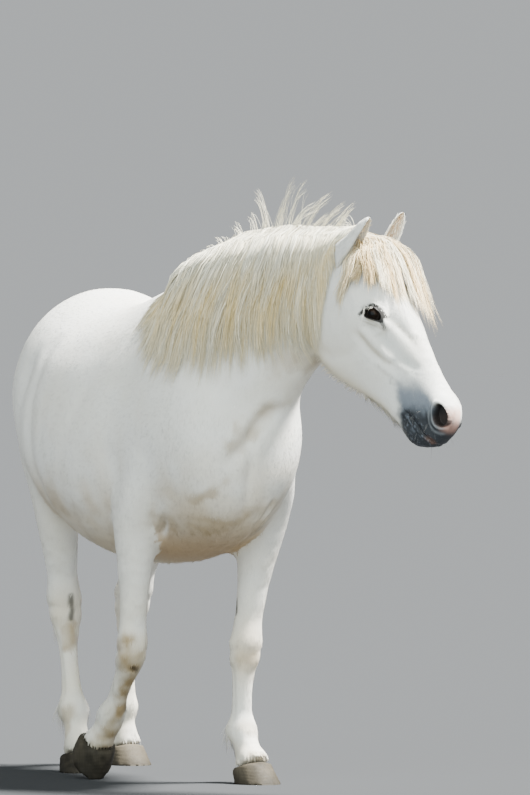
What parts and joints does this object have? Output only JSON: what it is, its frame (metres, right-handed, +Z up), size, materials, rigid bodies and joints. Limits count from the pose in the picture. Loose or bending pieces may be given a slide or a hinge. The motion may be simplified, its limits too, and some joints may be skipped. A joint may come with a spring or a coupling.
{
  "type": "pony",
  "caption": "Still life-size model of a white pony that walks with its head turned to its left, with a long mane over the right side of its neck.",
  "frame": {"origin": "on the floor, under the middle of the whole model's box", "axes": "+Z up, -Y the way the pony walks, +X to the pony's left"},
  "size_m": [0.7784, 1.9602, 1.6607],
  "materials": {
    "coat": "short dense white horse hair, lying flat, with a faint cream tint below",
    "nose": "bare slate-grey skin of the muzzle with pink patches and fine short hair",
    "hair": "long coarse cream-white mane and tail hair in locks",
    "horn": "grey-brown hoof horn with growth rings, satin",
    "eye": "wet dark brown eyeball, glossy"
  },
  "bodies": {
    "root": {"trunk": "coat", "neck": "coat", "head": "coat", "muzzle": "nose", "eye_left": "eye", "ear_left": "coat", "eye_right": "eye", "ear_right": "coat", "foreleg_left_upper": "coat", "foreleg_left_cannon": "coat", "foreleg_left_pastern": "coat", "foreleg_left_hoof": "horn", "foreleg_right_upper": "coat", "foreleg_right_cannon": "coat", "foreleg_right_pastern": "coat", "foreleg_right_hoof": "horn", "hindleg_left_upper": "coat", "hindleg_left_cannon": "coat", "hindleg_left_pastern": "coat", "hindleg_left_hoof": "horn", "hindleg_right_upper": "coat", "hindleg_right_cannon": "coat", "hindleg_right_pastern": "coat", "hindleg_right_hoof": "horn", "mane": "hair", "forelock": "hair", "tail": "hair"}
  },
  "joints": []
}
